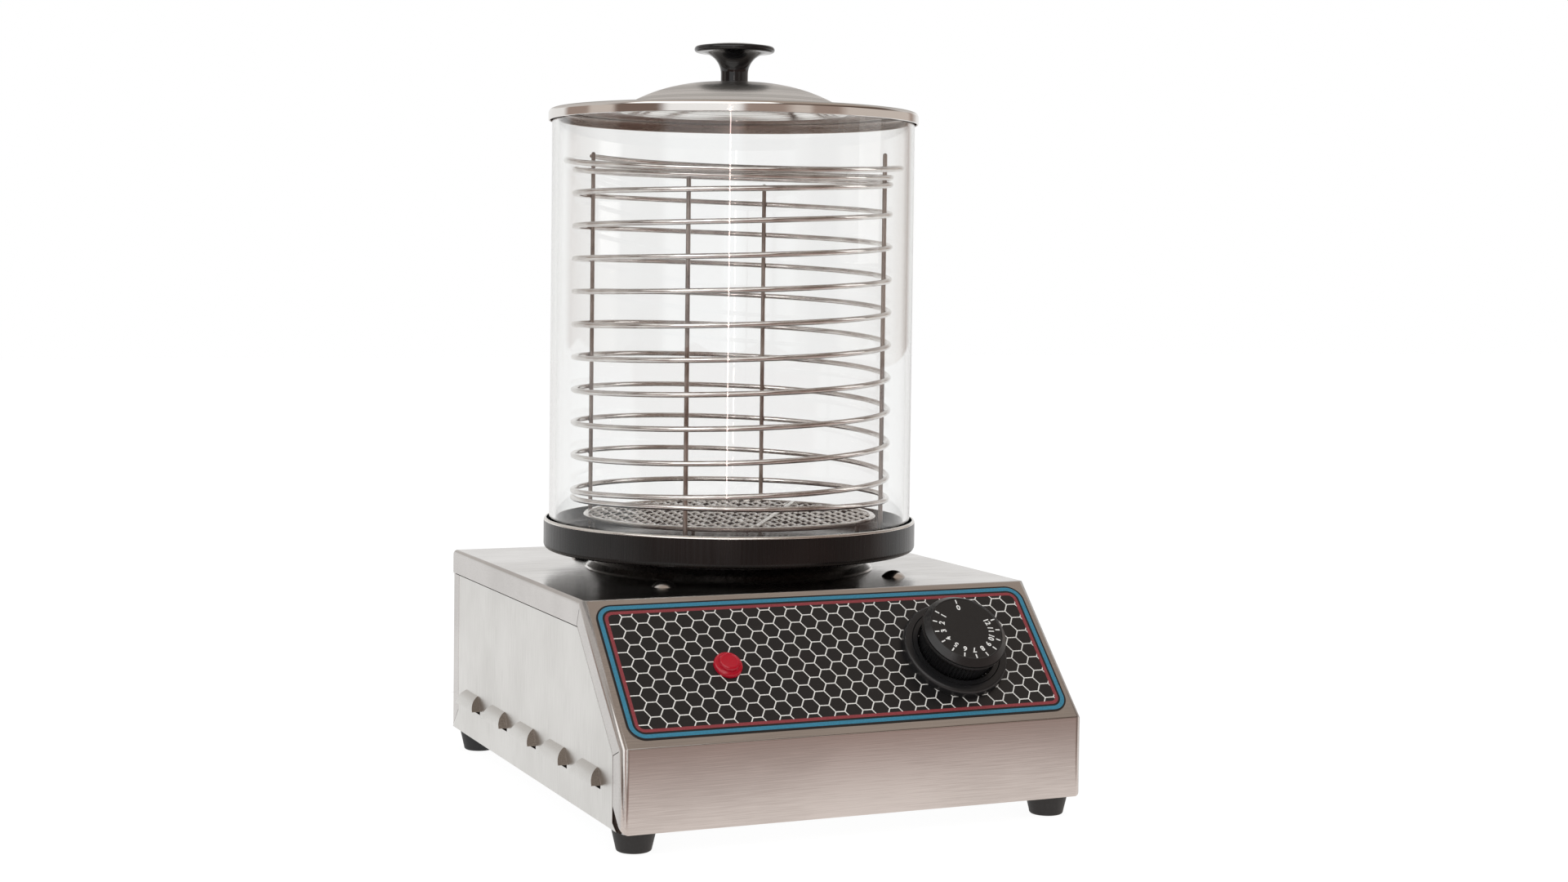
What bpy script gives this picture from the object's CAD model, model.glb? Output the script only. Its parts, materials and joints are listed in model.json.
import json
import math

import bmesh
import bpy
from mathutils import Matrix, Vector


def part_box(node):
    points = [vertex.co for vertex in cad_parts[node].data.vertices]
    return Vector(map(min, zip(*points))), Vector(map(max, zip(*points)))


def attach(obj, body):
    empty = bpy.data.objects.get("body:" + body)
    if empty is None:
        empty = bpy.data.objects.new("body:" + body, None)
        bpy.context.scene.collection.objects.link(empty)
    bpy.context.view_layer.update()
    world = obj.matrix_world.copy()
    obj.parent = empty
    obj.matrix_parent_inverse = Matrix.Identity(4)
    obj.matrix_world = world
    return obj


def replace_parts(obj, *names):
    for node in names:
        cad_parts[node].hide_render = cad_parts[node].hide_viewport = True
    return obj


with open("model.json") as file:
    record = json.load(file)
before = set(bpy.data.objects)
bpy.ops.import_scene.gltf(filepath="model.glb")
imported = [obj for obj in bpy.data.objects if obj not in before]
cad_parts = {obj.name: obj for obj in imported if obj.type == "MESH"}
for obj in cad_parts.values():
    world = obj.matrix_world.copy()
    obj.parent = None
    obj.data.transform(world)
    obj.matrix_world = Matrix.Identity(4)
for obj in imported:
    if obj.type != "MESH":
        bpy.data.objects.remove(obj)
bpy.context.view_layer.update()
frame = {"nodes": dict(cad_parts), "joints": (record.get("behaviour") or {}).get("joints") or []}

# ---------------------------------------------------------------- Camera
# It stands a good metre from the glass, to the left of the front and nearly level with the
# middle of the object, turned a little clockwise.
mm = 0.001
scene = bpy.context.scene
up = Vector((0, 0, 1))
column = sum(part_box("hotplate_stud"), Vector()) / 2
column.z = 0
view_azimuth = math.radians(-23.65)
view_elevation = math.radians(2.08)
view_roll = math.radians(0.69)
view_distance = 1322.1 * mm
aim_height = 228.9 * mm
aim_aside = 29.3 * mm
# These three are in pixels of the frame
frame_width = 1920
focal_length = 2918
frame_drop = 100

back = Vector((math.sin(view_azimuth) * math.cos(view_elevation),
               -math.cos(view_azimuth) * math.cos(view_elevation), math.sin(view_elevation)))
level_right = up.cross(back).normalized()
tilt = Matrix.Rotation(view_roll, 3, back)
view_right = tilt @ level_right
view_up = back.cross(view_right)
camera_data = bpy.data.cameras.new("camera")
camera_data.sensor_width = 36
camera_data.lens = focal_length / frame_width * camera_data.sensor_width
camera_data.shift_y = -frame_drop / frame_width
camera = bpy.data.objects.new("camera", camera_data)
scene.collection.objects.link(camera)
eye = column + up * aim_height + level_right * aim_aside + back * view_distance
camera.matrix_world = (Matrix.Translation(eye)
                       @ Matrix((view_right, view_up, back)).transposed().to_4x4())
scene.camera = camera
scene.view_settings.view_transform = "Standard"


# ---------------------------------------------------------------- Studio
# A pale floor and a white room, as the camera sees them. The metal mirrors other things: brown
# walls, a warm ceiling and a tall white screen beside the camera. Soft boxes hang at the left,
# overhead and at the right, and a strip light stands at the left.
def add_node(owner, kind, inputs=None, **settings):
    """Node of that kind in a material or world, with its sockets set or linked."""
    made = owner.node_tree.nodes.new(kind)
    for name, value in settings.items():
        setattr(made, name, value)
    for name, value in (inputs or {}).items():
        if isinstance(value, bpy.types.NodeSocket):
            owner.node_tree.links.new(value, made.inputs[name])
        else:
            made.inputs[name].default_value = value
    return made


def maths(owner, operation, first, second):
    """Result of one operation on two values or sockets."""
    return add_node(owner, "ShaderNodeMath", {0: first, 1: second}, operation=operation).outputs[0]


def ramp(owner, value, low, high, to_low=0.0, to_high=1.0):
    """Value carried smoothly from the range low to high over to another range."""
    made = add_node(owner, "ShaderNodeMapRange", {"Value": value, "From Min": low, "From Max": high,
                                                  "To Min": to_low, "To Max": to_high})
    made.interpolation_type = "SMOOTHSTEP"
    return made.outputs["Result"]


def mix_colour(owner, share, first, second):
    """Colour that goes from first to second as share goes from 0 to 1."""
    made = add_node(owner, "ShaderNodeMix", data_type="RGBA")
    for socket, value in ((0, share), (6, first), (7, second)):
        if isinstance(value, bpy.types.NodeSocket):
            owner.node_tree.links.new(value, made.inputs[socket])
        elif socket == 0:
            made.inputs[socket].default_value = value
        else:
            made.inputs[socket].default_value = (*value, 1)
    return made.outputs[2]


white = (1, 1, 1)
dark_floor = (0.24, 0.12, 0.09)
dark_wall = (0.20, 0.145, 0.12)
pale_wall = (0.64, 0.57, 0.52)
back_wall = (0.90, 0.895, 0.885)
brown_wall = (0.36, 0.28, 0.24)
dark_gap = (0.10, 0.065, 0.05)
rear_ceiling = (0.62, 0.59, 0.565)
even_room = (0.62, 0.62, 0.62)
overhead = (0.42, 0.35, 0.30)
bright_screen = (1.6, 1.58, 1.55)
world = bpy.data.worlds.new("studio_room")
scene.world = world
world.use_nodes = True
world.node_tree.nodes.clear()
room_way = add_node(world, "ShaderNodeTexCoord").outputs["Generated"]
room_xyz = add_node(world, "ShaderNodeSeparateXYZ", {0: room_way}).outputs
room_height = room_xyz["Z"]
front_way = maths(world, "MULTIPLY", room_xyz["Y"], -1)
azimuth = maths(world, "ARCTAN2", room_xyz["X"], front_way)
round_share = add_node(world, "ShaderNodeMapRange",
                       {"Value": azimuth, "From Min": -math.pi, "From Max": math.pi}).outputs[0]
walls = add_node(world, "ShaderNodeValToRGB", {"Fac": round_share})
wall_ramp = walls.color_ramp
wall_ramp.elements.remove(wall_ramp.elements[0])
# Degrees to the right of the front, each with the wall's tone there
wall_tones = ((-152, back_wall), (-145, brown_wall), (-124, brown_wall), (-120, pale_wall),
              (-102, pale_wall), (-98, dark_wall), (-70, dark_wall), (-60, white), (-22, white),
              (-14, brown_wall), (8, brown_wall), (16, pale_wall), (24, pale_wall),
              (28, brown_wall), (44, brown_wall), (52, pale_wall), (114, pale_wall),
              (121, brown_wall), (136, back_wall), (158, back_wall))
for degrees, tone in wall_tones:
    wall_ramp.elements.new(degrees / 360 + 0.5).color = (*tone, 1)
wall_ramp.elements.remove(wall_ramp.elements[-1])
# Heights in the room are sines of the angle above the horizon
in_gap = ramp(world, room_height, 0.17, 0.28)
above = ramp(world, room_height, 0.45, 0.75)
behind = ramp(world, front_way, 0.0, -0.4)
gap_tone = mix_colour(world, behind, dark_gap, rear_ceiling)
top_tone = mix_colour(world, behind, overhead, rear_ceiling)
walls_and_gap = mix_colour(world, in_gap, walls.outputs["Color"], gap_tone)
walls_and_top = mix_colour(world, above, walls_and_gap, top_tone)
screen_left = ramp(world, room_height, 0.2, 0.45, math.radians(-62), math.radians(-95))
screen_right = ramp(world, room_height, 0.2, 0.5, math.radians(-20), math.radians(6))
screen_blur = (-0.1, 0.05)
past_left = ramp(world, maths(world, "SUBTRACT", azimuth, screen_left), *screen_blur)
short_of_right = ramp(world, maths(world, "SUBTRACT", screen_right, azimuth), *screen_blur)
below_top = ramp(world, room_height, 0.82, 0.72)
on_screen = maths(world, "MULTIPLY", maths(world, "MULTIPLY", past_left, short_of_right), below_top)
screen_glow = mix_colour(world, ramp(world, room_height, 0.10, 0.25), white, bright_screen)
mirrored_room = mix_colour(world, on_screen, walls_and_top, screen_glow)


def seen_and_mirrored(owner):
    """Whether a ray comes straight or only through glass, and whether metal has turned it."""
    ray = add_node(owner, "ShaderNodeLightPath").outputs
    turned_back = maths(owner, "GREATER_THAN", ray["Glossy Depth"], 0.5)
    direct = maths(owner, "MAXIMUM", ray["Is Camera Ray"], ray["Is Transmission Ray"])
    return maths(owner, "GREATER_THAN", direct, turned_back), turned_back


room_seen, room_mirrored = seen_and_mirrored(world)
lit_room = mix_colour(world, room_mirrored, even_room, mirrored_room)
room_colour = mix_colour(world, room_seen, lit_room, white)
room_light = add_node(world, "ShaderNodeBackground", {"Color": room_colour, "Strength": 1})
add_node(world, "ShaderNodeOutputWorld", {"Surface": room_light.outputs[0]})

floor_reach = 6
warm_floor = (0.99, 0.89, 0.84)
grey_floor = (0.87, 0.865, 0.86)
floor_glow_strength = 1.1
floor_glow_share = 0.85
floor_mesh = bpy.data.meshes.new("floor")
floor_bm = bmesh.new()
bmesh.ops.create_grid(floor_bm, x_segments=1, y_segments=1, size=floor_reach)
floor_bm.to_mesh(floor_mesh)
floor_bm.free()
floor = bpy.data.objects.new("floor", floor_mesh)
scene.collection.objects.link(floor)
pale = bpy.data.materials.new("pale_floor")
pale.use_nodes = True
pale.node_tree.nodes.clear()
floor_way = add_node(pale, "ShaderNodeTexCoord").outputs["Object"]
floor_y = add_node(pale, "ShaderNodeSeparateXYZ", {0: floor_way}).outputs["Y"]
floor_seen, floor_mirrored = seen_and_mirrored(pale)
# In metres from the middle of the object: the floor beside it, and the floor in front of it
beside = ramp(pale, floor_y, -0.155, -0.11)
in_front = ramp(pale, floor_y, -0.16, -0.46)
near_floor = mix_colour(pale, beside, warm_floor, grey_floor)
mirrored_floor = mix_colour(pale, in_front, near_floor, dark_floor)
floor_colour = mix_colour(pale, floor_seen, mirrored_floor, white)
floor_glow = add_node(pale, "ShaderNodeEmission",
                      {"Color": floor_colour, "Strength": floor_glow_strength})
floor_matt = add_node(pale, "ShaderNodeBsdfDiffuse", {"Color": (0.85, 0.85, 0.85, 1)})
floor_share = maths(pale, "MULTIPLY", maths(pale, "MAXIMUM", floor_seen, floor_mirrored),
                    floor_glow_share)
floor_mix = add_node(pale, "ShaderNodeMixShader",
                     {0: floor_share, 1: floor_matt.outputs[0], 2: floor_glow.outputs[0]})
add_node(pale, "ShaderNodeOutputMaterial", {"Surface": floor_mix.outputs[0]})
floor_mesh.materials.append(pale)


def soft_box(name, place, width, height, power, colour=white, mirrored=False):
    """Area lamp that looks at the middle of the glass, and shows in metal only if mirrored."""
    lamp = bpy.data.lights.new(name, "AREA")
    lamp.shape = "RECTANGLE"
    lamp.size = width
    lamp.size_y = height
    lamp.energy = power
    lamp.color = colour
    lamp_object = bpy.data.objects.new(name, lamp)
    scene.collection.objects.link(lamp_object)
    lamp_object.location = place
    aim = column + up * aim_height - lamp_object.location
    lamp_object.rotation_euler = aim.to_track_quat("-Z", "Y").to_euler()
    lamp_object.visible_glossy = mirrored


soft_box("left_box", (-1.5, -1.1, 1.25), 1.0, 1.4, 9)
soft_box("overhead_box", (0.2, -0.1, 1.9), 1.6, 1.2, 8)
soft_box("right_box", (1.7, -0.5, 0.9), 0.7, 1.3, 4)
soft_box("strip_light", (-0.66, -1.44, 0.24), 0.02, 0.44, 0.3, (1, 0.8, 0.75), mirrored=True)


# ---------------------------------------------------------------- Folded cover and rear panel
# One millimetre stainless sheet with a fine straight grain across the front. The cover is one
# sheet for the front, slope and top; the rear panel is screwed to the lip at its back.
def finish(name, **sockets):
    """Material with a Principled shader, its sockets given by name with _ for a space."""
    material = bpy.data.materials.new(name)
    material.use_nodes = True
    shader = material.node_tree.nodes["Principled BSDF"]
    for socket, value in sockets.items():
        shader.inputs[socket.replace("_", " ")].default_value = value
    return material, shader


def noise(material, stretch, detail=2.0):
    """Noise on the piece's own coordinates, with so many waves in a metre along X, Y and Z."""
    place = add_node(material, "ShaderNodeTexCoord").outputs["Object"]
    laid = add_node(material, "ShaderNodeMapping", {"Vector": place, "Scale": stretch})
    return add_node(material, "ShaderNodeTexNoise",
                    {"Vector": laid.outputs[0], "Scale": 1.0, "Detail": detail}).outputs[0]


def link(material, output, shader, socket):
    """Joins an output to a socket of the shader."""
    material.node_tree.links.new(output, shader.inputs[socket])


def bump(material, shader, height, depth):
    """Surface relief of that depth in metres."""
    made = add_node(material, "ShaderNodeBump",
                    {"Height": height, "Distance": depth, "Strength": 1.0})
    link(material, made.outputs["Normal"], shader, "Normal")


# Where the sum of two noises starts and ends to tell, and how far roughness drifts either way
sum_span = (0.7, 1.3)
rough_drift = 0.05


def brushed(name, stretch, way, dark, light, rough):
    """Brushed stainless steel: stretch makes the hairlines, way is the direction of the grain."""
    material, shader = finish(name, Metallic=1.0, Anisotropic=0.55)
    hairs = noise(material, stretch)
    smears = noise(material, (14, 22, 18), 4.0)
    both = maths(material, "ADD", hairs, smears)
    share = ramp(material, both, *sum_span)
    link(material, mix_colour(material, share, dark, light), shader, "Base Color")
    link(material, ramp(material, both, *sum_span, rough + rough_drift, rough - rough_drift),
         shader, "Roughness")
    bump(material, shader, hairs, 0.01 * mm)
    grain = add_node(material, "ShaderNodeCombineXYZ", dict(zip("XYZ", way)))
    link(material, grain.outputs[0], shader, "Tangent")
    return material


def soften(bm, width):
    """Rounds every edge that turns by more than 30 degrees."""
    sharp = [e for e in bm.edges if e.is_manifold and e.calc_face_angle(0) > math.radians(30)]
    bmesh.ops.bevel(bm, geom=sharp, offset=width, offset_type="OFFSET", affect="EDGES",
                    segments=2, profile=0.5, material=-1, clamp_overlap=False)


def piece(name, bm, body, slot, *materials, smooth=35, thickness=0.0, offset=0.0):
    """Finished object from a bmesh, riding on a body of the frame."""
    mesh = bpy.data.meshes.new(name)
    bm.to_mesh(mesh)
    bm.free()
    for material in materials:
        mesh.materials.append(material)
    mesh.shade_smooth()
    mesh.set_sharp_from_angle(angle=math.radians(smooth))
    made = bpy.data.objects.new(name, mesh)
    scene.collection.objects.link(made)
    if thickness:
        solid = made.modifiers.new("thickness", "SOLIDIFY")
        solid.thickness = thickness
        solid.offset = offset
    made.modifiers.new("flat_faces", "WEIGHTED_NORMAL").keep_sharp = True
    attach(made, body)
    return made


touching = 0.001 * mm


def eased(name, node, body, slot, material, width):
    """Copy of a sheet or moulded part with its corners eased, in place of the plain one."""
    bm = bmesh.new()
    bm.from_mesh(frame["nodes"][node].data)
    bmesh.ops.remove_doubles(bm, verts=bm.verts, dist=touching)
    bmesh.ops.dissolve_limit(bm, angle_limit=math.radians(0.5), verts=bm.verts, edges=bm.edges)
    if width:
        soften(bm, width)
    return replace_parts(piece(name, bm, body, slot, material), node)


steel_front = brushed("steel_grain_across", (45, 2600, 2600), (1, 0.03, 0),
                      (0.545, 0.525, 0.51), (0.635, 0.615, 0.60), 0.18)
eased("folded_cover", "top_cover", "housing", "brushed_sheet", steel_front, 0)
eased("rear_cover", "rear_panel", "housing", "brushed_sheet", steel_front, 0.16 * mm)

# ---------------------------------------------------------------- Side panels
# The same sheet with its grain upright and a dull bloom, its edges set behind the cover's
# flanges. Five louvres are pressed out of each panel, browner at their drawn ends, and grime
# darkens the seam, as it does every face under the outer skin.
upright_grain = (2200, 2200, 60)
upright_way = (0.03, 0, 1)
seam_depth = 0.12 * mm
end_slant = 0.35
steel_side = brushed("steel_grain_upright", upright_grain, upright_way,
                     (0.66, 0.655, 0.635), (0.74, 0.735, 0.715), 0.33)
drawn_ends = brushed("louvre_ends", upright_grain, upright_way,
                     (0.17, 0.145, 0.125), (0.25, 0.215, 0.19), 0.3)
seam_brown, seam_shader = finish("seam_grime", Roughness=0.7, Specular_IOR_Level=0.1)
link(seam_brown, mix_colour(seam_brown, noise(seam_brown, (200, 200, 200)), (0.02, 0.013, 0.010),
                            (0.05, 0.036, 0.03)), seam_shader, "Base Color")
panel_x = max(abs(corner.x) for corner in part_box("top_cover"))
for side in ("left", "right"):
    louvred = eased(f"{side}_louvred_side", f"{side}_side_panel", "housing", "brushed_sheet",
                    steel_side, 0.14 * mm)
    louvred.data.materials.append(seam_brown)
    louvred.data.materials.append(drawn_ends)
    for face in louvred.data.polygons:
        if abs(face.center.x) < panel_x - seam_depth:
            face.material_index = 1
        elif abs(face.center.x) > panel_x and abs(face.normal.y) > end_slant:
            face.material_index = 2

# ---------------------------------------------------------------- Base plate and hidden metal
# Galvanised sheet and zinc plated fixings, with the cloudy tone of zinc. They are riveted,
# screwed or clamped inside the housing and show only from below and behind.
# Where one noise starts and ends to tell, in a colour and in roughness
tone_span = (0.35, 0.65)
rough_span = (0.3, 0.7)


def clouded(name, waves, detail, dark, light, low_rough, high_rough):
    """Metal whose colour and roughness drift together over the piece."""
    material, shader = finish(name, Metallic=1.0)
    clouds = noise(material, waves, detail)
    link(material, mix_colour(material, ramp(material, clouds, *tone_span), dark, light), shader,
         "Base Color")
    link(material, ramp(material, clouds, *rough_span, low_rough, high_rough), shader, "Roughness")
    return material


def dress(material, *nodes):
    """Gives plain parts that stay as they are their finish."""
    for name in nodes:
        mesh = frame["nodes"][name].data
        mesh.materials.clear()
        mesh.materials.append(material)


spangle = (160, 160, 160)
galvanised = clouded("galvanised_sheet", spangle, 3.0, (0.528, 0.536, 0.544), (0.66, 0.67, 0.68),
                     0.34, 0.50)
plated = clouded("plated_fixings", spangle, 3.0, (0.576, 0.576, 0.56), (0.72, 0.72, 0.70),
                 0.22, 0.38)
dress(galvanised, "base_plate", "top_stiffener", "hotplate_clamp_bar")
dress(plated, "rear_screws", "thermostat_screws", "pilot_lamp_nut", "hotplate_stud",
      "hotplate_nut", "domed_screw_nuts", "foot_screws", "foot_nuts", "dial_shaft", "lid_screw",
      "lid_washer")

# ---------------------------------------------------------------- Electrical parts inside
# The ceramic thermostat, the terminal blocks of the plate and the mains, the lamp's barrel and
# the nylon gland in the rear panel.
def moulded(name, colour, rough, grain=900, depth=0.02 * mm):
    """Moulded plastic, rubber or ceramic with a fine even grain."""
    material, shader = finish(name, Roughness=rough)
    grains = noise(material, (grain, grain, grain), 3.0)
    shades = mix_colour(material, ramp(material, grains, *tone_span),
                        tuple(0.85 * c for c in colour), tuple(1.1 * c for c in colour))
    link(material, shades, shader, "Base Color")
    bump(material, shader, grains, depth)
    return material


ceramic = moulded("glazed_ceramic", (0.66, 0.62, 0.53), 0.35)
white_nylon = moulded("white_nylon", (0.7, 0.68, 0.62), 0.4)
black_nylon = moulded("black_nylon", (0.03, 0.03, 0.032), 0.45)
dress(ceramic, "thermostat_body", "hotplate_terminals")
dress(white_nylon, "terminal_block")
dress(black_nylon, "cable_gland", "gland_nut", "pilot_lamp_body")

# ---------------------------------------------------------------- Feet
# Tapered black rubber feet with a rounded tread, each held by a screw up its middle.
rubber = moulded("foot_rubber", (0.014, 0.0145, 0.015), 0.55, 700, 0.04 * mm)
for end in ("front", "rear"):
    for side in ("left", "right"):
        eased(f"rubber_{end}_{side}", f"foot_{end}_{side}", "housing", "foot_rubber", rubber,
              0.4 * mm)

# ---------------------------------------------------------------- Printed overlay
# Black polyester film stuck to the slope, with a blue and a red stripe round a field of white
# honeycomb lines. The inks are printed on the film and stand hardly proud of it.
dial_joint = next(j for j in frame["joints"] if j["name"] == "dial_turn")
slope_out = -Vector(dial_joint["axis"])
slope_out.normalize()
slope_up = slope_out.cross(Vector((1, 0, 0)))
slope_middle = Vector((0, dial_joint["pos_m"][1], dial_joint["pos_m"][2]))


def on_slope(x, y=0.0, z=0.0):
    """Matrix that stands a shape on the slope, x to the right and y up it."""
    turn = Matrix((Vector((1, 0, 0)), slope_up, slope_out)).transposed().to_4x4()
    return Matrix.Translation(slope_middle) @ turn @ Matrix.Translation((x, y, z))


film_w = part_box("control_overlay")[1].x * 2
film_l = 80 * mm
film_r = 9 * mm
film_t = 0.4 * mm
film_y = 0.4 * mm
ink_t = 0.02 * mm
stripes = (("black", 0.9 * mm), ("blue", 2.2 * mm), ("black", 1.1 * mm), ("red", 1.8 * mm))
ink_colours = {"white": (0.78, 0.76, 0.72), "blue": (0.028, 0.20, 0.31),
               "red": (0.25, 0.034, 0.042)}
inks = list(ink_colours)
comb_flat = 8.52 * mm
comb_line = 0.58 * mm
comb_middle = (-0.4 * mm, 2.5 * mm)

meeting = 0.05 * mm


def crop(bm, place, out):
    """Cuts away what lies beyond a plane through place, on the side that out points to."""
    bmesh.ops.bisect_plane(bm, geom=bm.verts[:] + bm.edges[:] + bm.faces[:], dist=0.0001 * mm,
                           plane_co=place, plane_no=out, clear_outer=True)


def pour(source, target):
    """Adds what is in one bmesh to another, and frees the first."""
    mesh = bpy.data.meshes.new("poured")
    source.to_mesh(mesh)
    source.free()
    target.from_mesh(mesh)
    bpy.data.meshes.remove(mesh)


film_bm = bmesh.new()
corner_x = film_w / 2
corner_y = film_l / 2
corners = [film_bm.verts.new((sx * corner_x, sy * corner_y, 0))
           for sx, sy in ((-1, -1), (1, -1), (1, 1), (-1, 1))]
film_bm.faces.new(corners)
bmesh.ops.bevel(film_bm, geom=corners, offset=film_r, offset_type="OFFSET", affect="VERTICES",
                segments=10, profile=0.5, material=-1)
film_bm.faces.ensure_lookup_table()
field = film_bm.faces[0]
unprinted = []
for ink, width in stripes:
    ring = bmesh.ops.inset_region(film_bm, faces=[field], thickness=width, use_boundary=True,
                                  use_even_offset=True)["faces"]
    if ink == "black":
        unprinted += ring
    else:
        for face in ring:
            face.material_index = inks.index(ink)
field_edges = [(loop.vert.co.copy(), loop.link_loop_next.vert.co.copy()) for loop in field.loops]
bmesh.ops.delete(film_bm, geom=unprinted + [field], context="FACES")

comb_bm = bmesh.new()
comb_side = comb_flat / math.sqrt(3)
reach_x = math.ceil(film_w / comb_side / 3) + 1
reach_y = math.ceil(film_l / comb_flat / 2) + 1
for i in range(-reach_x, reach_x + 1):
    for j in range(-reach_y, reach_y + 1):
        x = comb_middle[0] + i * 1.5 * comb_side
        y = comb_middle[1] + (j + (i % 2) / 2) * comb_flat
        bmesh.ops.create_circle(comb_bm, cap_ends=True, radius=comb_side, segments=6,
                                matrix=Matrix.Translation((x, y, 0))
                                @ Matrix.Rotation(math.radians(30), 4, "Z"))
bmesh.ops.remove_doubles(comb_bm, verts=comb_bm.verts, dist=meeting)
cells = comb_bm.faces[:]
bmesh.ops.inset_individual(comb_bm, faces=cells, thickness=comb_line / 2, use_even_offset=True)
bmesh.ops.delete(comb_bm, geom=cells, context="FACES")
for start, end in field_edges:
    crop(comb_bm, start, (end - start).normalized().cross(up))
pour(comb_bm, film_bm)
for face in film_bm.faces:
    if face.normal.z < 0:
        face.normal_flip()
bmesh.ops.transform(film_bm, matrix=on_slope(0, film_y, film_t + ink_t), verts=film_bm.verts)

printed = [moulded(f"{ink}_ink", colour, 0.38, 1500, 0.01 * mm)
           for ink, colour in ink_colours.items()]
piece("overlay_print", film_bm, "housing", "printed_overlay", *printed,
      thickness=3 * ink_t, offset=-1)
film_black = moulded("overlay_film", (0.009, 0.0085, 0.009), 0.34, 2200)
dress(film_black, "control_overlay")

# ---------------------------------------------------------------- Dial
# Black phenolic dial on the thermostat's shaft: a bevelled head over a finely ribbed neck,
# with plain white numbers and ticks filled into the face, turning inside a fixed ring.
def turned(outline, steps=128, closed=True):
    """Turned shape from half its outline as (radius, height), about the Z axis."""
    bm = bmesh.new()
    points = [bm.verts.new((r, 0, z)) for r, z in outline]
    following = points[1:] + points[:1] if closed else points[1:]
    edges = [bm.edges.new(pair) for pair in zip(points, following)]
    bmesh.ops.spin(bm, geom=points + edges, axis=up, cent=(0, 0, 0), angle=math.tau,
                   steps=steps, use_merge=True, use_duplicate=False)
    bmesh.ops.remove_doubles(bm, verts=bm.verts, dist=0.0005 * mm)
    bmesh.ops.recalc_face_normals(bm, faces=bm.faces)
    return bm


dial_x = dial_joint["pos_m"][0]
head_r = 22.5 * mm
face_r = 18.8 * mm
dial_h = 21 * mm
neck_r = 20 * mm
neck_low = 3.2 * mm
face_sink = 0.4 * mm
dial_black = moulded("dial_black", (0.010, 0.010, 0.0105), 0.3, 1400)
head_bm = turned([(0, dial_h - face_sink), (face_r - 0.3 * mm, dial_h - face_sink),
                  (face_r, dial_h - 0.1 * mm), (face_r + 0.4 * mm, dial_h - 0.1 * mm),
                  (head_r - 0.3 * mm, dial_h - 3 * mm), (head_r - 0.9 * mm, dial_h - 3.2 * mm),
                  (head_r - 0.9 * mm, dial_h - 3.7 * mm), (head_r, dial_h - 3.9 * mm),
                  (head_r, dial_h - 5.2 * mm), (head_r - 0.5 * mm, dial_h - 5.6 * mm),
                  (neck_r - 1.2 * mm, dial_h - 5.6 * mm), (neck_r - 1.2 * mm, neck_low),
                  (0, neck_low)], closed=False)
soften(head_bm, 0.12 * mm)
ribs = 56
rib_depth = 0.95 * mm
rib_profile = (0, 0.55, 1, 0.55)
rib_foot = neck_low - 0.2 * mm
rib_h = dial_h - 6 * mm - rib_foot
rib_bm = bmesh.new()
ring = bmesh.ops.create_circle(rib_bm, cap_ends=True, radius=neck_r,
                               segments=ribs * len(rib_profile))["verts"]
for i, vert in enumerate(ring):
    vert.co *= 1 - rib_depth * rib_profile[i % len(rib_profile)] / neck_r
raised = bmesh.ops.extrude_face_region(rib_bm, geom=rib_bm.faces[:])["geom"]
bmesh.ops.translate(rib_bm, verts=[v for v in raised if isinstance(v, bmesh.types.BMVert)],
                    vec=up * rib_h)
bmesh.ops.translate(rib_bm, verts=rib_bm.verts, vec=up * rib_foot)
bmesh.ops.recalc_face_normals(rib_bm, faces=rib_bm.faces)
pour(rib_bm, head_bm)
bmesh.ops.transform(head_bm, matrix=on_slope(dial_x), verts=head_bm.verts)
dial_head = piece("dial_head", head_bm, "dial", "dial_plastic", dial_black)
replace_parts(dial_head, "dial_knob")

tick_l = 2.4 * mm
tick_w = 0.68 * mm
tick_end = 18.3 * mm
number_r = 13.2 * mm
number_h = 4.1 * mm
number_bold = 0.1 * mm
mark_t = 0.1 * mm
numbers = 13
# Degrees from the off mark to the first number, and from each number to the next
first_turn = 49
turn_step = 21.5
marks_bm = bmesh.new()
for number in range(numbers):
    turn = math.radians(first_turn + (number - 1) * turn_step if number else 0)
    spoke = Matrix.Rotation(turn, 4, "Z")
    tick = bmesh.ops.create_cube(marks_bm, size=1)["verts"]
    bmesh.ops.scale(marks_bm, verts=tick, vec=(tick_w, tick_l, mark_t))
    bmesh.ops.transform(marks_bm, matrix=spoke @ Matrix.Translation((0, tick_end - tick_l / 2, 0)),
                        verts=tick)
    letters = bpy.data.curves.new("number", "FONT")
    letters.body = str(number)
    letters.size = number_h
    letters.align_x = "CENTER"
    letters.align_y = "CENTER"
    letters.offset = number_bold
    letters.extrude = mark_t / 2
    written = bpy.data.objects.new("number", letters)
    scene.collection.objects.link(written)
    bpy.context.view_layer.update()
    number_mesh = bpy.data.meshes.new_from_object(written)
    number_mesh.transform(spoke @ Matrix.Translation((0, number_r, 0)))
    marks_bm.from_mesh(number_mesh)
    bpy.data.objects.remove(written)
    bpy.data.curves.remove(letters)
    bpy.data.meshes.remove(number_mesh)
bmesh.ops.transform(marks_bm, matrix=on_slope(dial_x, 0, dial_h - face_sink), verts=marks_bm.verts)
dial_white = moulded("dial_white", (0.8, 0.79, 0.76), 0.5, 1500, 0.01 * mm)
piece("dial_marks", marks_bm, "dial", "dial_plastic", dial_white)

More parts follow.
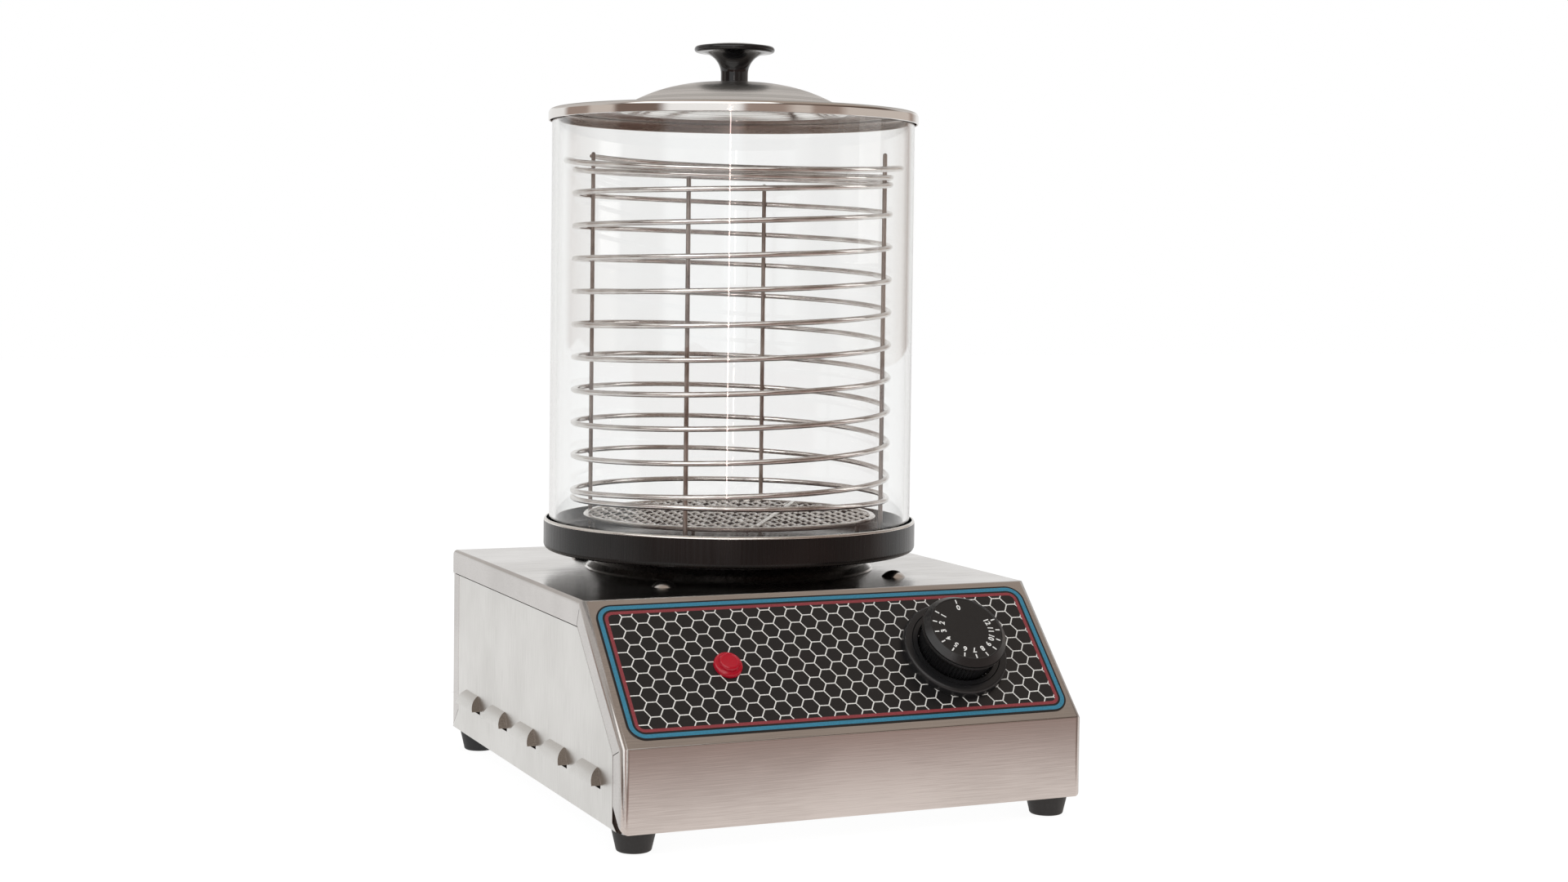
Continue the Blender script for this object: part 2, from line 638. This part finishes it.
ring_black = moulded("dial_ring_black", (0.012, 0.012, 0.013), 0.33, 1200)
ring_r = 28 * mm
ring_in = 20.6 * mm
ring_h = 4.6 * mm
ring_bm = turned([(ring_in, 0), (ring_in, ring_h - 0.5 * mm), (ring_in + 0.5 * mm, ring_h),
                  (ring_r - 4.6 * mm, ring_h), (ring_r - 4.4 * mm, ring_h - 0.5 * mm),
                  (ring_r - 4.1 * mm, ring_h), (ring_r - 1.5 * mm, ring_h - 0.1 * mm),
                  (ring_r - 0.7 * mm, ring_h - 0.4 * mm), (ring_r - 0.2 * mm, ring_h - 1 * mm),
                  (ring_r, ring_h - 1.8 * mm), (ring_r, 0)])
bmesh.ops.transform(ring_bm, matrix=on_slope(dial_x, 0, film_t), verts=ring_bm.verts)
dial_ring = piece("dial_ring", ring_bm, "housing", "dial_plastic", ring_black)
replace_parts(dial_ring, "dial_bezel")

# ---------------------------------------------------------------- Pilot lamp
# Clear red plastic lens, stepped in two rings round a flat face, pressed through the slope
# and held from inside by a nut.
lens_middle = sum(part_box("pilot_lamp_lens"), Vector()) / 2
lens_r = 7.4 * mm
lens_red, lens_shader = finish("lens_red", Base_Color=(0.36, 0.001, 0.014, 1), Roughness=0.12,
                               Coat_Weight=0.2, Coat_Roughness=0.05,
                               Subsurface_Weight=0.2, Subsurface_Scale=0.003,
                               Emission_Color=(0.6, 0.0, 0.02, 1), Emission_Strength=0.12)
bump(lens_red, lens_shader, noise(lens_red, (500, 500, 500), 1.0), 0.03 * mm)
lens_bm = turned([(0, 4.3 * mm), (3.6 * mm, 4.3 * mm), (3.9 * mm, 4.6 * mm), (4.6 * mm, 4.5 * mm),
                  (5.1 * mm, 4.1 * mm), (5.4 * mm, 3.3 * mm), (5.6 * mm, 2.4 * mm),
                  (6.2 * mm, 2.2 * mm), (6.9 * mm, 1.9 * mm), (7.3 * mm, 1.3 * mm),
                  (lens_r, 0.6 * mm), (lens_r, 0), (0, 0)], 96, closed=False)
bmesh.ops.transform(lens_bm, matrix=on_slope(lens_middle.x, 0, film_t), verts=lens_bm.verts)
lamp_lens = piece("lamp_lens", lens_bm, "housing", "red_lens", lens_red, smooth=50)
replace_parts(lamp_lens, "pilot_lamp_lens")

# ---------------------------------------------------------------- Hotplate
# Cast iron plate, blackened, with a spun bright ring round it that sheds spills on to the top,
# and four dome-headed screws that hold the stiffener under the sheet.
cast_iron = moulded("cast_iron", (0.03, 0.029, 0.028), 0.6, 500, 0.1 * mm)
dress(cast_iron, "hotplate")
spun_ring = brushed("spun_ring_steel", (60, 60, 2500), (1, 0, 0), (0.62, 0.6, 0.58),
                    (0.75, 0.73, 0.71), 0.2)
dress(spun_ring, "hotplate_ring", "domed_screws")

# ---------------------------------------------------------------- Water pan
# Turned aluminium tray, dark anodised, with a bright rounded rim where the finish is worn off.
# Fine upright hairlines run round its wall, and the inside is glossy black.
pan_low, pan_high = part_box("water_pan")
pan_r = (pan_high.x - pan_low.x) / 2
pan_h = pan_high.z - pan_low.z
pan_base = 8.8 * mm
pan_wall = 1.5 * mm
foot_round = 3 * mm
rim_round = 1.3 * mm
anodised, anodised_shader = finish("dark_anodised", Specular_IOR_Level=0.33)
upright = noise(anodised, (700, 700, 20), 3.0)
clouding = noise(anodised, (25, 25, 25), 2.0)
anodised_tone = mix_colour(anodised, ramp(anodised, clouding, *tone_span),
                           (0.005, 0.0045, 0.0045), (0.010, 0.007, 0.0065))
link(anodised, anodised_tone, anodised_shader, "Base Color")
link(anodised, ramp(anodised, upright, *rough_span, 0.22, 0.32), anodised_shader, "Roughness")
bump(anodised, anodised_shader, upright, 0.02 * mm)


def worn(name, colour, waves, low_rough, high_rough):
    """Metal of one colour whose roughness alone drifts over the piece."""
    material, shader = finish(name, Metallic=1.0, Base_Color=(*colour, 1))
    link(material, ramp(material, noise(material, waves), *rough_span, low_rough, high_rough),
         shader, "Roughness")
    return material


bright_rim = worn("bright_rim", (0.8, 0.78, 0.75), (90, 90, 900), 0.14, 0.3)
gloss_black = moulded("glossy_pan_floor", (0.008, 0.010, 0.011), 0.12, 300, 0.01 * mm)
gloss_black.node_tree.nodes["Principled BSDF"].inputs["Specular IOR Level"].default_value = 0.15


def arc(r, z, radius, start, end, steps=6):
    """Points round part of a circle, from one angle to the other in degrees."""
    angles = [math.radians(start + (end - start) * i / steps) for i in range(steps + 1)]
    return [(r + radius * math.cos(a), z + radius * math.sin(a)) for a in angles]


pan_bm = turned([(0, 0)] + arc(pan_r - foot_round, foot_round, foot_round, -90, 0)
                + arc(pan_r - rim_round, pan_h - rim_round, rim_round, 0, 90)
                + [(pan_r - pan_wall, pan_h - 0.2 * mm), (pan_r - pan_wall, pan_base + 0.8 * mm),
                   (pan_r - pan_wall - 0.8 * mm, pan_base), (0, pan_base)], 192, closed=False)
bmesh.ops.translate(pan_bm, verts=pan_bm.verts, vec=column + up * pan_low.z)
for face in pan_bm.faces:
    middle = face.calc_center_median() - column
    height = middle.z - pan_low.z
    radius = middle.xy.length
    if height > pan_h - rim_round:
        face.material_index = 1
    elif radius < pan_r - pan_wall / 2 and height > foot_round:
        face.material_index = 2
water_tray = piece("water_tray", pan_bm, "pan", "dark_anodised", anodised, bright_rim, gloss_black)
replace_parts(water_tray, "water_pan")

# ---------------------------------------------------------------- Mesh grate
# Disc of expanded stainless mesh, clamped in a flat rolled rim, with one straight bar across it.
# Each strand is twisted, as the mesh is slit and pulled, so it glints along one side.
grate_low, grate_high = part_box("mesh_grate")
grate_r = (grate_high.x - grate_low.x) / 2
grate_middle = (grate_low + grate_high) / 2
grate_middle.z = 0
cell_long = 21 * mm
cell_short = 6.4 * mm
strand_w = 1.3 * mm
strand_t = 0.9 * mm
twist = 0.45 * mm
rim_w = 3 * mm
bar_r = 1.1 * mm
bar_l = 140 * mm
bar_aside = 25.8 * mm
mesh_turn = Matrix.Rotation(math.radians(65), 4, "Z")
bar_turn = Matrix.Rotation(math.radians(58), 4, "Z")
mesh_z = grate_low.z + 1.2 * mm
bar_z = grate_low.z + 2 * mm
bright_wire = brushed("bright_mesh", (300, 300, 300), (1, 0, 0), (0.62, 0.60, 0.575),
                      (0.84, 0.82, 0.79), 0.2)
mesh_bm = bmesh.new()
across_x = math.ceil(grate_r / cell_long) * 2
across_y = math.ceil(grate_r / cell_short) * 2
for i in range(-across_x, across_x + 1):
    for j in range(-across_y, across_y + 1):
        if (i + j) % 2 == 0:
            middle = Vector((i * cell_long / 2, j * cell_short / 2, 0))
            if middle.length < grate_r + cell_long:
                tips = [mesh_bm.verts.new(middle + Vector(tip)) for tip in
                        ((cell_long / 2, 0, 0), (0, cell_short / 2, 0),
                         (-cell_long / 2, 0, 0), (0, -cell_short / 2, 0))]
                mesh_bm.faces.new(tips)
bmesh.ops.remove_doubles(mesh_bm, verts=mesh_bm.verts, dist=meeting)
diamonds = mesh_bm.faces[:]
bmesh.ops.inset_individual(mesh_bm, faces=diamonds, thickness=strand_w / 2, use_even_offset=True)
for diamond in diamonds:
    middle = diamond.calc_center_median()
    for vert in diamond.verts:
        vert.co.z = twist * (1 if vert.co.y > middle.y else -1)
bmesh.ops.delete(mesh_bm, geom=diamonds, context="FACES")
rim_sides = 64
for k in range(rim_sides):
    out = Vector((math.cos(math.tau * k / rim_sides), math.sin(math.tau * k / rim_sides), 0))
    crop(mesh_bm, out * (grate_r - rim_w / 2), out)
bmesh.ops.transform(mesh_bm, verts=mesh_bm.verts,
                    matrix=Matrix.Translation(grate_middle + up * mesh_z) @ mesh_turn)
piece("expanded_mesh", mesh_bm, "grate", "wire_steel", bright_wire, thickness=strand_t)

rim_bm = turned([(grate_r - rim_w, 0.3 * mm), (grate_r - rim_w + 0.3 * mm, 0),
                 (grate_r - 0.6 * mm, 0), (grate_r, 0.6 * mm), (grate_r, 1.8 * mm),
                 (grate_r - 0.6 * mm, 2.4 * mm), (grate_r - rim_w + 0.3 * mm, 2.4 * mm),
                 (grate_r - rim_w, 2.1 * mm)], 128)
bmesh.ops.translate(rim_bm, verts=rim_bm.verts, vec=grate_middle + up * grate_low.z)
bar = bmesh.ops.create_cone(rim_bm, cap_ends=True, segments=12, radius1=bar_r, radius2=bar_r,
                            depth=bar_l)["verts"]
bar_middle = grate_middle + bar_turn @ Vector((0, -bar_aside, 0)) + up * bar_z
bmesh.ops.transform(rim_bm, verts=bar, matrix=Matrix.Translation(bar_middle) @ bar_turn
                    @ Matrix.Rotation(math.radians(90), 4, "Y"))
grate_rim = piece("grate_rim", rim_bm, "grate", "wire_steel", bright_wire)
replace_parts(grate_rim, "mesh_grate")
dress(bright_wire, "grate_feet")

# ---------------------------------------------------------------- Glass cylinder
# Clear borosilicate tube with fire-polished ends that stands loose inside the pan's wall.
glass_low, glass_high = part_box("glass_cylinder")
glass_r = (glass_high.x - glass_low.x) / 2
glass_h = glass_high.z - glass_low.z
glass_wall = 3.5 * mm
lip = glass_wall / 2 - 0.05 * mm
glass, glass_shader = finish("clear_glass", Base_Color=(0.965, 0.97, 0.968, 1), Roughness=0.0,
                             IOR=1.46, Transmission_Weight=1.0)
bump(glass, glass_shader, noise(glass, (6, 6, 2), 1.0), 0.4 * mm)
through = add_node(glass, "ShaderNodeBsdfTransparent", {"Color": (0.95, 0.96, 0.955, 1)})
glass_ray = add_node(glass, "ShaderNodeLightPath").outputs["Is Shadow Ray"]
clear = add_node(glass, "ShaderNodeMixShader",
                 {0: glass_ray, 1: glass_shader.outputs[0], 2: through.outputs[0]})
glass.node_tree.links.new(clear.outputs[0],
                          glass.node_tree.nodes["Material Output"].inputs["Surface"])
lip_r = glass_r - glass_wall / 2
glass_bm = turned(arc(lip_r, lip, lip, -180, 0, 10)
                  + arc(lip_r, glass_h - lip, lip, 0, 180, 10), 256)
bmesh.ops.translate(glass_bm, verts=glass_bm.verts, vec=column + up * glass_low.z)
glass_tube = piece("glass_tube", glass_bm, "glass", "clear_glass", glass)
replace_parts(glass_tube, "glass_cylinder")

# ---------------------------------------------------------------- Wire basket
# One long stainless wire wound into a coil: a ring at the bottom, even turns, closer turns at
# the top and an end that swings out over them. Four heat-tinted rods are spot welded inside it,
# each crossing with a small dark weld. It stands loose in the pan.
coil_wire = 3 * mm
coil_start = math.radians(156.4)
coil_turns = 12.94
points_a_turn = 60
end_taper = 0.7
# Pairs of a turn and a value in millimetres: the wire's height at the sides, how far it sags
# below that at the front and rises above it at the back, and its radius
level_heights = ((0, 19), (0.2, 21), (0.5, 19.8), (0.8, 21.8), (1, 22.6), (2, 42.24), (10, 186),
                 (10.5, 193.3), (11, 199.6), (11.5, 197), (12, 205), (12.5, 202.5),
                 (coil_turns, 208.5))
front_sags = ((1, 0), (2, 2.1), (10, 2.3), (11.25, 4.5), (12.25, 6.8))
back_rises = ((1, 0), (1.5, 1.8), (3.5, 3.1), (10, 2.9), (10.9, 2.5), (11.5, 2), (12, 0.7),
              (12.5, 0))
radii = ((0, 87.1), (11.5, 87.1), (12, 92), (12.5, 92.8), (12.75, 92), (coil_turns, 88.4))


def between(turn, pairs):
    """Value at that turn, from pairs of turn and value."""
    if turn < pairs[0][0]:
        return pairs[0][1]
    for (t0, v0), (t1, v1) in zip(pairs, pairs[1:]):
        if turn <= t1:
            return v0 + (v1 - v0) * (turn - t0) / (t1 - t0)
    return pairs[-1][1]


def coil_point(turn):
    """Point on the middle of the wire after so many turns."""
    wave = math.sin(math.tau * turn)
    height = between(turn, level_heights) - wave * between(turn, front_sags if wave > 0
                                                           else back_rises)
    radius = between(turn, radii) * mm
    angle = coil_start + math.tau * turn
    aside = Vector((radius * math.cos(angle), radius * math.sin(angle), height * mm))
    return column + up * glass_low.z + aside


wire_steel = clouded("drawn_wire", (60, 60, 60), 3.0, (0.60, 0.57, 0.55), (0.76, 0.74, 0.72),
                     0.06, 0.12)
coil_curve = bpy.data.curves.new("coil", "CURVE")
coil_curve.dimensions = "3D"
coil_curve.bevel_depth = coil_wire / 2
coil_curve.bevel_resolution = 4
coil_curve.use_fill_caps = True
coil_points = round(coil_turns * points_a_turn) + 1
spline = coil_curve.splines.new("POLY")
spline.points.add(coil_points - 1)
for i, point in enumerate(spline.points):
    point.co = (*coil_point(coil_turns * i / (coil_points - 1)), 1)
spline.points[0].radius = end_taper
spline.points[-1].radius = end_taper
coil_line = bpy.data.objects.new("coil_line", coil_curve)
scene.collection.objects.link(coil_line)
bpy.context.view_layer.update()
coil_bm = bmesh.new()
coil_mesh = bpy.data.meshes.new_from_object(coil_line)
coil_bm.from_mesh(coil_mesh)
bpy.data.meshes.remove(coil_mesh)
bpy.data.objects.remove(coil_line)
bmesh.ops.remove_doubles(coil_bm, verts=coil_bm.verts, dist=touching)
bmesh.ops.recalc_face_normals(coil_bm, faces=coil_bm.faces)
wound_coil = piece("wound_coil", coil_bm, "basket", "wire_steel", wire_steel, smooth=60)
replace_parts(wound_coil, "basket_coil")

tinted = clouded("heat_tinted_wire", (90, 90, 60), 4.0, (0.20, 0.16, 0.14), (0.36, 0.31, 0.28),
                 0.26, 0.42)
weld_dark, weld_shader = finish("weld_scale", Metallic=1.0, Roughness=0.45)
link(weld_dark, mix_colour(weld_dark, noise(weld_dark, (400, 400, 400)), (0.10, 0.08, 0.07),
                           (0.26, 0.22, 0.19)), weld_shader, "Base Color")
rod_r = 1.2 * mm
weld_r = 1.25 * mm
weld_stretch = 1.25
highest_weld = 11.5
welds_bm = bmesh.new()
for rod in ("left", "front", "right", "back"):
    rod_low, rod_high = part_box(f"basket_rod_{rod}")
    rod_h = rod_high.z - rod_low.z
    rod_foot = (rod_low + rod_high - up * rod_h) / 2
    rod_bm = turned([(0, 0), (rod_r - 0.2 * mm, 0), (rod_r, 0.2 * mm)]
                    + arc(0, rod_h - rod_r, rod_r, 0, 90, 6)[:-1] + [(0, rod_h)], 20, closed=False)
    bmesh.ops.translate(rod_bm, verts=rod_bm.verts, vec=rod_foot)
    made = piece(f"upright_{rod}", rod_bm, "basket", "tinted_rod", tinted, smooth=60)
    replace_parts(made, f"basket_rod_{rod}")
    outward = rod_foot - column
    outward.z = 0
    turn = (math.atan2(outward.y, outward.x) - coil_start) / math.tau % 1
    while turn < highest_weld:
        crossing = coil_point(turn)
        if crossing.z < rod_high.z:
            spot = bmesh.ops.create_uvsphere(welds_bm, u_segments=12, v_segments=8,
                                             radius=weld_r)["verts"]
            bmesh.ops.scale(welds_bm, verts=spot, vec=(1, 1, weld_stretch))
            bmesh.ops.translate(welds_bm, verts=spot,
                                vec=crossing - outward.normalized() * (coil_wire / 2))
        turn += 1
piece("basket_welds", welds_bm, "basket", "tinted_rod", weld_dark, smooth=60)

# ---------------------------------------------------------------- Lid
# Lid spun from stainless sheet: an upright rim outside the glass, a flat land and a flat-topped
# dome, with the rings that the spinning tool leaves.
lid_low, lid_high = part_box("lid_shell")
lid_r = (lid_high.x - lid_low.x) / 2
lid_rim = 6.4 * mm
lid_t = 1 * mm
lid_round = 2.5 * mm
dome_r = 64 * mm
dome_h = lid_high.z - lid_low.z - lid_rim
dome_power = 2.6
dome_steps = 24
hole_r = 2.7 * mm
facing_down = -0.05


def dome(thickness):
    """Half outline of the dome, outwards from the knob's hole."""
    reach = dome_r - thickness
    radii = [hole_r + (reach - hole_r) * i / dome_steps for i in range(dome_steps + 1)]
    return [(r, lid_rim - thickness + dome_h * (1 - (r / reach) ** dome_power)) for r in radii]


def spun(name, dark, light, rough_dark, rough_light):
    """Spun steel with rings round the column, and its highlights drawn out across them."""
    material, shader = finish(name, Metallic=1.0, Anisotropic=0.6)
    way = add_node(material, "ShaderNodeTexCoord").outputs["Object"]
    aside = add_node(material, "ShaderNodeVectorMath", {0: way, 1: tuple(column)},
                     operation="SUBTRACT")
    aside = add_node(material, "ShaderNodeVectorMath", {0: aside.outputs[0], 1: (1, 1, 0)},
                     operation="MULTIPLY")
    radius = add_node(material, "ShaderNodeVectorMath", {0: aside.outputs[0]},
                      operation="LENGTH").outputs["Value"]
    rings = add_node(material, "ShaderNodeTexNoise", {"W": radius, "Scale": 900.0, "Detail": 2.0},
                     noise_dimensions="1D").outputs[0]
    bands = add_node(material, "ShaderNodeTexNoise", {"W": radius, "Scale": 130.0, "Detail": 1.0},
                     noise_dimensions="1D").outputs[0]
    lathe = maths(material, "ADD", rings, bands)
    link(material, mix_colour(material, ramp(material, lathe, *sum_span), dark, light), shader,
         "Base Color")
    link(material, ramp(material, lathe, *sum_span, rough_dark, rough_light), shader, "Roughness")
    bump(material, shader, lathe, 0.01 * mm)
    round_way = add_node(material, "ShaderNodeVectorMath", {0: aside.outputs[0], 1: (0, 0, 1)},
                         operation="CROSS_PRODUCT")
    link(material, round_way.outputs[0], shader, "Tangent")
    return material


spun_steel = spun("spun_lid_steel", (0.54, 0.53, 0.51), (0.80, 0.78, 0.76), 0.36, 0.24)
spun_inside = spun("spun_lid_inside", (0.72, 0.70, 0.68), (0.94, 0.93, 0.91), 0.14, 0.07)
polished_rim = worn("polished_rim", (0.80, 0.775, 0.75), (30, 30, 1500), 0.05, 0.12)
dull_inside = worn("dull_lid_inside", (0.3, 0.24, 0.21), (40, 40, 600), 0.2, 0.3)
outer_lid = dome(0) + arc(lid_r - lid_round, lid_rim - lid_round, lid_round, 90, 0, 8)
inner_lid = (arc(lid_r - lid_round, lid_rim - lid_round, lid_round - lid_t, 0, 90, 8)
             + dome(lid_t)[::-1])
lid_bm = turned(outer_lid + [(lid_r, 0.3 * mm), (lid_r - 0.5 * mm, 0), (lid_r - lid_t, 0.3 * mm)]
                + inner_lid, 192)
for face in lid_bm.faces:
    middle = face.calc_center_median()
    if middle.xy.length > lid_r - lid_t / 2:
        face.material_index = 1
    elif middle.xy.length > lid_r - 2 * lid_t and middle.z < lid_rim - lid_t:
        face.material_index = 2
    elif face.normal.z < facing_down:
        face.material_index = 3
bmesh.ops.translate(lid_bm, verts=lid_bm.verts, vec=column + up * lid_low.z)
spun_lid = piece("spun_lid", lid_bm, "lid", "spun_steel", spun_steel, polished_rim, dull_inside,
                 spun_inside, smooth=25)
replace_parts(spun_lid, "lid_shell")

# ---------------------------------------------------------------- Lid knob
# Glossy black phenolic knob, moulded in one piece: a stem that opens in a hollow curve into a
# lipped disc, screwed on from inside the lid.
knob_low, knob_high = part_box("lid_knob")
knob_r = (knob_high.x - knob_low.x) / 2
knob_h = knob_high.z - knob_low.z
stem_r = 7.5 * mm
lip_t = 1.7 * mm
disc_low = knob_h - 5 * mm
sweep = knob_r - 3 * mm - stem_r
throat = disc_low - sweep
phenolic = moulded("glossy_phenolic", (0.008, 0.008, 0.009), 0.09, 250, 0.003 * mm)
knob_bm = turned([(2.5 * mm, 0), (stem_r - 0.2 * mm, 0), (stem_r, 0.3 * mm)]
                 + arc(stem_r + sweep, throat, sweep, 180, 90, 16)
                 + arc(knob_r - lip_t, disc_low + lip_t, lip_t, -90, 90, 10)
                 + arc(knob_r - 4.2 * mm, knob_h - 1.9 * mm, 0.6 * mm, 0, 90, 3)
                 + [(knob_r - 9 * mm, knob_h - 0.5 * mm), (knob_r - 14 * mm, knob_h - 0.1 * mm),
                    (0, knob_h)], 128, closed=False)
bmesh.ops.translate(knob_bm, verts=knob_bm.verts, vec=column + up * knob_low.z)
moulded_knob = piece("moulded_knob", knob_bm, "lid", "knob_plastic", phenolic, smooth=40)
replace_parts(moulded_knob, "lid_knob")
